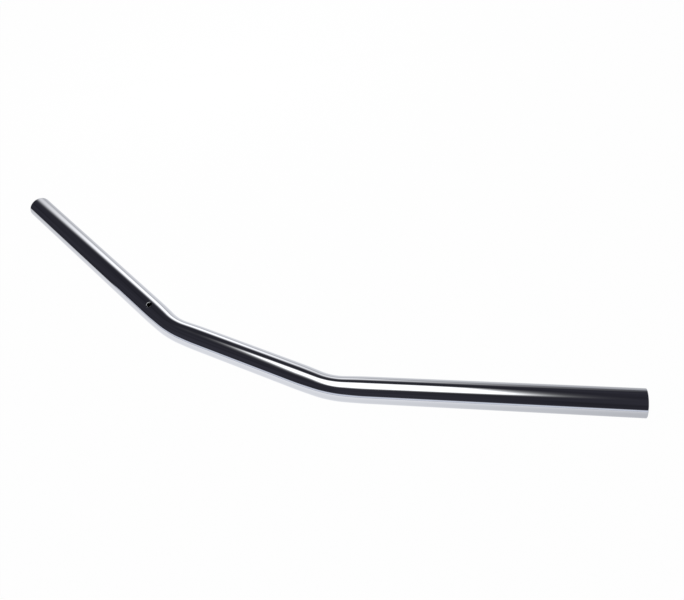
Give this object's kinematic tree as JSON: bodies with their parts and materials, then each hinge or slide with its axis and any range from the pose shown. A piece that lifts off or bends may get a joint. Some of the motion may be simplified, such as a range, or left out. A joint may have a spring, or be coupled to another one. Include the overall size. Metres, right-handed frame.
{
  "type": "motorcycle handlebar",
  "caption": "Low, nearly flat motorcycle handlebar: a chromed bent steel tube with a cable hole in one arm and a threaded insert fixed inside each open end.",
  "frame": {"origin": "on the tube's centreline at the middle of the clamp length, where the risers hold the bar", "axes": "+X along the clamp length towards the rider's left hand, +Y towards the rider, +Z square to the plane that the bar is bent in, on the side of the cable hole"},
  "size_m": [0.6326, 0.0966, 0.0228],
  "materials": {
    "chrome_plate": "bright decorative chrome plate on polished steel tube, mirror finish",
    "bare_steel": "turned mild steel, thinly plated, dull"
  },
  "bodies": {
    "root": {"bar_tube": "chrome_plate", "end_insert_left": "bare_steel", "end_insert_right": "bare_steel"}
  },
  "joints": []
}
